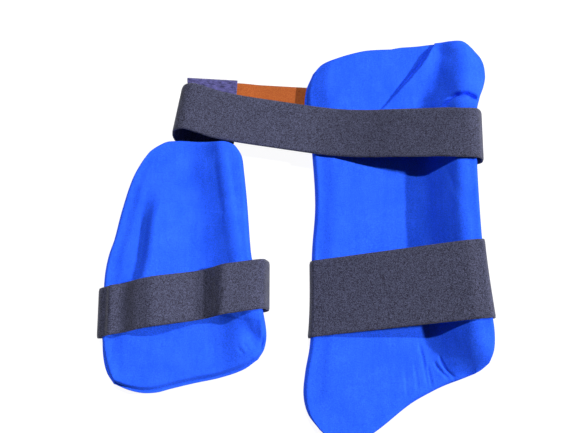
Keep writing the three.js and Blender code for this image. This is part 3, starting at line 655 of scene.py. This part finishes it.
def slack_loop(face, back, strap, count=360, columns=21):
    """Middle surface of the slack loop: taut bends of constant radius at the sides, and between them a
    drape that follows the pad's face, lifted by the waves of the table."""
    cloud = np.concatenate([face.reshape(-1, 3), back.reshape(-1, 3)])
    lift = CLEARANCE + WEBBING / 2
    points = band_points(cloud, strap, 0, strap["width"] / 2 + 9)
    edges = band_points(cloud, strap, 0, strap["width"] / 4)[:, 0]
    circle = np.linspace(0, 2 * np.pi, 72, endpoint=False)
    ring = BEND_RADIUS * np.stack([np.cos(circle), np.sin(circle)], -1)
    height = SEAT_HEIGHT + BEND_RADIUS
    left_ring = ring + [edges.min() - LEFT_SLACK + BEND_RADIUS, height]
    right_ring = ring + [edges.max() + RIGHT_SLACK - BEND_RADIUS, height]
    right = furthest_line(np.concatenate([points, right_ring]), np.linspace(-88, 88, 60), lift)
    left = furthest_line(left_ring, np.linspace(85, 268, 60), lift)
    x = np.linspace(right[-1, 0], left[0, 0], 200)[1:-1]
    top = np.array([points[np.abs(points[:, 0] - at) < 6, 1].max() for at in x])
    waves = smooth_curve(STRAP_WAVES, "at", "lift", x) * ease(right[-1, 0] - x, 0, 20)
    drape = np.stack([x, top + lift + waves], -1)
    line = np.concatenate([right, drape, left])[:, None, :]
    line = sample(line, even_spread(line[:, 0], count, True))
    line = soften(line, 18, True)[:, 0]
    width = strap["width"] * np.hypot(1, strap["slope"])
    offset = np.linspace(0.5, -0.5, columns) * width
    x = np.repeat(strap["middle"][0] + line[:, :1], columns, axis=1)
    y = strap["middle"][1] + line[:, :1] * strap["slope"] + offset
    return np.stack([x, y, np.repeat(line[:, 1:], columns, axis=1)], -1)


inner_strap = webbing("inner_strap_webbing", slack_loop(inner_face, inner_back, INNER_STRAP), WEBBING, True)
inner_strap.data.materials.append(navy)
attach(inner_strap, "root")
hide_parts("inner_thigh_strap")

# Waist belt. A 50 mm strap of the same elastic, sewn under the outer pad. It goes up round the wing, runs
# left across both pads, folds back on itself in an open loop and ends under the inner pad.
BELT_WIDTH = 50.0
BELT_SEWN_LENGTH = 69.0
BELT_LOOP = {"reach": 114.0, "height": 28.0, "drift": 12.0, "lean": 10.5,
             "place": 0.825 * OUTER_PAD["length"]}
BELT_TAIL = {"length": 50.0, "turn": 30.0}
BELT_WRAP = {"width": BELT_WIDTH, "slope": 0.0, "middle": (95.0, 0.726 * OUTER_PAD["length"])}
BELT_RUN = {
    "across": (.74, .61, .48, .35, .23, .12, -.02, -.17, -.32, -.46),
    "along": (.731, .735, .74, .746, .753, .761, .771, .781, .791, .803),
    "lift": (.9, .72, .53, .3, .14, .04, .02, .04, .07, .1),
}


def belt_middle(face, back, count=420, columns=23):
    """Middle surface of the belt: a taut line round the wing, a sagging run read from the table, half an
    ellipse for the loop, and a straight tail. Its width stays square to the run in plan."""
    cloud = np.concatenate([face.reshape(-1, 3), back.reshape(-1, 3)])
    low, lift = WEBBING / 2, CLEARANCE + WEBBING / 2
    near = band_points(cloud, BELT_WRAP, 0, 0.75 * BELT_WIDTH)
    flat = furthest_line(near, np.linspace(-85, 104, 80), lift)
    across, along = BELT_WRAP["middle"]
    wrap = np.stack([across + flat[:, 0], np.full(len(flat), along), flat[:, 1]], -1)
    sewn = wrap[:1] * [1, 1, 0] + [-BELT_SEWN_LENGTH, 0, low]
    row = np.linspace(0, 1, 91)
    share = {"row": np.linspace(0, 1, 10), **BELT_RUN}
    x, y, up = (smooth_curve(share, "row", column, row) for column in ("across", "along", "lift"))
    base = SEAT_HEIGHT + OUTER_PAD["thickness"] + lift
    run = np.stack([x * OUTER_PAD["width"], y * OUTER_PAD["length"], base + (wrap[-1, 2] - base) * up], -1)
    radius = (BELT_LOOP["height"] - low) / 2
    turn = np.linspace(0, np.pi, 60)
    loop = np.stack([-BELT_LOOP["reach"] - radius * np.sin(turn),
                     BELT_LOOP["place"] - BELT_LOOP["drift"] * ((1 - np.cos(turn)) / 2) ** 2,
                     low + radius * (1 + np.cos(turn))], -1)
    tail_turn = np.radians(BELT_TAIL["turn"])
    tail = loop[-1:] + BELT_TAIL["length"] * np.array([[np.cos(tail_turn), -np.sin(tail_turn), 0]])
    heading = np.gradient(run, axis=0)
    run_side = np.stack([heading[:, 1], -heading[:, 0], 0 * row], -1)
    run_side /= np.linalg.norm(run_side, axis=-1, keepdims=True)
    lean = np.radians(BELT_LOOP["lean"])
    leaning = np.array([[np.sin(lean), np.cos(lean), 0]])
    line = np.concatenate([sewn, wrap, run, loop, tail])
    side = np.concatenate([np.tile([[0, 1, 0]], (81, 1)), run_side, np.repeat(leaning, 61, axis=0)])
    place = even_spread(line, count, False)
    line = soften(sample(line[:, None], np.minimum(place, len(line) - 1.0001)), 6, False)
    side = soften(sample(side[:, None], np.minimum(place, len(side) - 1.0001)), 6, False)
    side /= np.linalg.norm(side, axis=-1, keepdims=True)
    return line + side * (np.linspace(0.5, -0.5, columns) * BELT_WIDTH)[None, :, None]


belt = webbing("waist_belt_webbing", belt_middle(outer_face, outer_back), WEBBING, False)
belt.data.materials.append(navy)
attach(belt, "root")
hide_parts("waist_belt")

# Stretch panel. A 48 mm strip of orange elastic, sewn under the outer pad. It runs left on the floor, then
# up over the belt's tail, where the hook patch is sewn on it.
PANEL = {"width": 48.0, "sewn": 48.0, "slope": np.tan(np.radians(-3.4)),
         "place": 0.838 * OUTER_PAD["length"], "drop": 22.0, "setback": 6.0}


def panel_middle(count=160, columns=21):
    """Middle surface of the panel: low under the pad, a smooth step up over the drop, level on the tail."""
    low, raised = WEBBING / 2, SEAT_HEIGHT + WEBBING / 2
    tail_end = BELT_TAIL["length"] - BELT_LOOP["reach"]
    x = np.linspace(PANEL["setback"] - BELT_LOOP["reach"], PANEL["sewn"], count)
    height = low + (raised - low) * (1 - ease(x, tail_end, tail_end + PANEL["drop"]))
    line = np.stack([x, PANEL["place"] + PANEL["slope"] * x, height], -1)[:, None]
    side = np.array([-PANEL["slope"], 1, 0]) / np.hypot(1, PANEL["slope"])
    return line + side * (np.linspace(0.5, -0.5, columns) * PANEL["width"])[None, :, None]


orange = knitted_elastic("orange_knitted_elastic", "#93410f", "#994613", "#b56425", 2.0)
panel = webbing("stretch_panel_webbing", panel_middle()[::-1], WEBBING, False)
panel.data.materials.append(orange)
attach(panel, "root")
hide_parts("belt_stretch_panel")

# Hook patch. A 52 mm wide piece of purple hook and loop tape on the panel's left end, whose left edge
# reaches into the belt's loop.
PATCH = {"width": 52.0, "length": 50.0, "thickness": 2.0, "tuck": 4.0}


def patch_middle(count=60, columns=41):
    """Middle surface of the patch: a level strip in line with the panel, with low creases along it. Its
    upper left corner reaches further left, beside the loop."""
    left = -BELT_LOOP["reach"] - PATCH["tuck"]
    share = np.linspace(0, 1, count)[:, None]
    offset = np.linspace(0.5, -0.5, columns)[None, :] * PATCH["width"]
    x = left + PATCH["length"] * share - 3.0 * ease(offset, 6, 26) * (1 - share)
    crease = 0.5 * np.sin(offset * 1.1 + 3 * np.sin(share * 4)) * np.sin(share * np.pi) ** 2
    height = SEAT_HEIGHT + WEBBING + CLEARANCE + PATCH["thickness"] / 2 + 0.1 + np.maximum(crease, 0)
    line = np.stack(np.broadcast_arrays(x, PANEL["place"] + PANEL["slope"] * x, height), -1)
    side = np.array([-PANEL["slope"], 1, 0]) / np.hypot(1, PANEL["slope"])
    return line + side * offset[..., None]


def nylon_loop_tape():
    """Nylon hook and loop tape: a dense felt of fine loops about 1 mm across, matte, worn into gaps about 6
    mm long and 2 mm wide that run along the tape, with painted shade darkening the gaps."""
    material, tree = new_material("nylon_loop_tape")
    flat = add_node(tree, "ShaderNodeUVMap", {"uv_map": "flat"}).outputs["UV"]
    loops = add_node(tree, "ShaderNodeTexVoronoi", {"Scale": 900.0}, {"Vector": flat})
    drawn = add_node(tree, "ShaderNodeMapping", {"Scale": (160.0, 420.0, 1.0)}, {"Vector": flat})
    fuzz = add_node(tree, "ShaderNodeTexNoise", {"Scale": 1.0, "Detail": 4.0, "Roughness": 0.75},
                    {"Vector": drawn.outputs["Vector"]})
    # Painted shade: this noise darkens the tape's colour in the gaps of the pile, where shade would fall.
    shade = add_node(tree, "ShaderNodeMapRange", {"From Min": 0.32, "From Max": 0.68},
                     {"Value": fuzz.outputs["Fac"]})
    tone = add_node(tree, "ShaderNodeMix",
                    {"data_type": "RGBA", COLOUR_A: linear("#161532"), COLOUR_B: linear("#6360a1")},
                    {0: shade.outputs["Result"]})
    height = add_node(tree, "ShaderNodeMath", {"operation": "ADD"},
                      {0: loops.outputs["Distance"], 1: fuzz.outputs["Fac"]})
    relief = add_node(tree, "ShaderNodeBump", {"Strength": 0.8, "Distance": 0.0006},
                      {"Height": height.outputs[0]})
    shader = add_node(tree, "ShaderNodeBsdfPrincipled",
                      {"Roughness": 0.9, "Specular IOR Level": 0.2, "Sheen Weight": 0.3,
                       "Sheen Roughness": 0.5},
                      {"Base Color": tone.outputs[MIXED], "Normal": relief.outputs["Normal"]})
    add_node(tree, "ShaderNodeOutputMaterial", {}, {"Surface": shader.outputs["BSDF"]})
    return material


patch = webbing("hook_patch_tape", patch_middle()[::-1], PATCH["thickness"], False)
patch.data.materials.append(nylon_loop_tape())
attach(patch, "root")
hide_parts("belt_hook_patch")

# Floor, light and camera. A pale floor, a strong light from the right and a weaker one from beyond the belt,
# both broad enough for a soft edge to the shadows, a faint surround, and the camera almost straight above.
floor_mesh = bpy.data.meshes.new("floor")
floor_mesh.from_pydata([(-40, -40, 0), (40, -40, 0), (40, 40, 0), (-40, 40, 0)], [], [(0, 1, 2, 3)])
floor = bpy.data.objects.new("floor", floor_mesh)
bpy.context.scene.collection.objects.link(floor)
paper, paper_tree = new_material("white_paper_backdrop")
paper_shader = add_node(paper_tree, "ShaderNodeBsdfPrincipled",
                        {"Base Color": linear("#606060"), "Roughness": 0.9, "Specular IOR Level": 0.1,
                         "Emission Color": linear("#ffffff"), "Emission Strength": 0.95})
add_node(paper_tree, "ShaderNodeOutputMaterial", {}, {"Surface": paper_shader.outputs["BSDF"]})
floor_mesh.materials.append(paper)

surround = bpy.data.worlds.new("surround")
surround.use_nodes = True
surround.node_tree.nodes["Background"].inputs["Color"].default_value = (1, 1, 1, 1)
surround.node_tree.nodes["Background"].inputs["Strength"].default_value = 0.06
bpy.context.scene.world = surround

LIGHTS = (("side_light", 4.0, (1.27, 0.1, 1.0)), ("top_light", 2.14, (0.0, 0.41, 1.0)))
for light_name, energy, direction in LIGHTS:
    light_data = bpy.data.lights.new(light_name, "SUN")
    light_data.energy = energy
    light_data.angle = np.radians(2.5)
    light = bpy.data.objects.new(light_name, light_data)
    light.rotation_euler = Vector(direction).to_track_quat("Z", "Y").to_euler()
    bpy.context.scene.collection.objects.link(light)

camera_data = bpy.data.cameras.new("camera")
camera_data.lens = 56.15
camera_data.sensor_width = 36
camera = bpy.data.objects.new("camera", camera_data)
target = np.array([-0.00666, 0.01698, 0.025])
tilt = np.radians(12)
camera.location = target + 0.9 * np.array([0, -np.sin(tilt), np.cos(tilt)])
camera.rotation_euler = (tilt, 0, 0)
bpy.context.scene.collection.objects.link(camera)
bpy.context.scene.camera = camera
bpy.context.scene.view_settings.view_transform = "Standard"
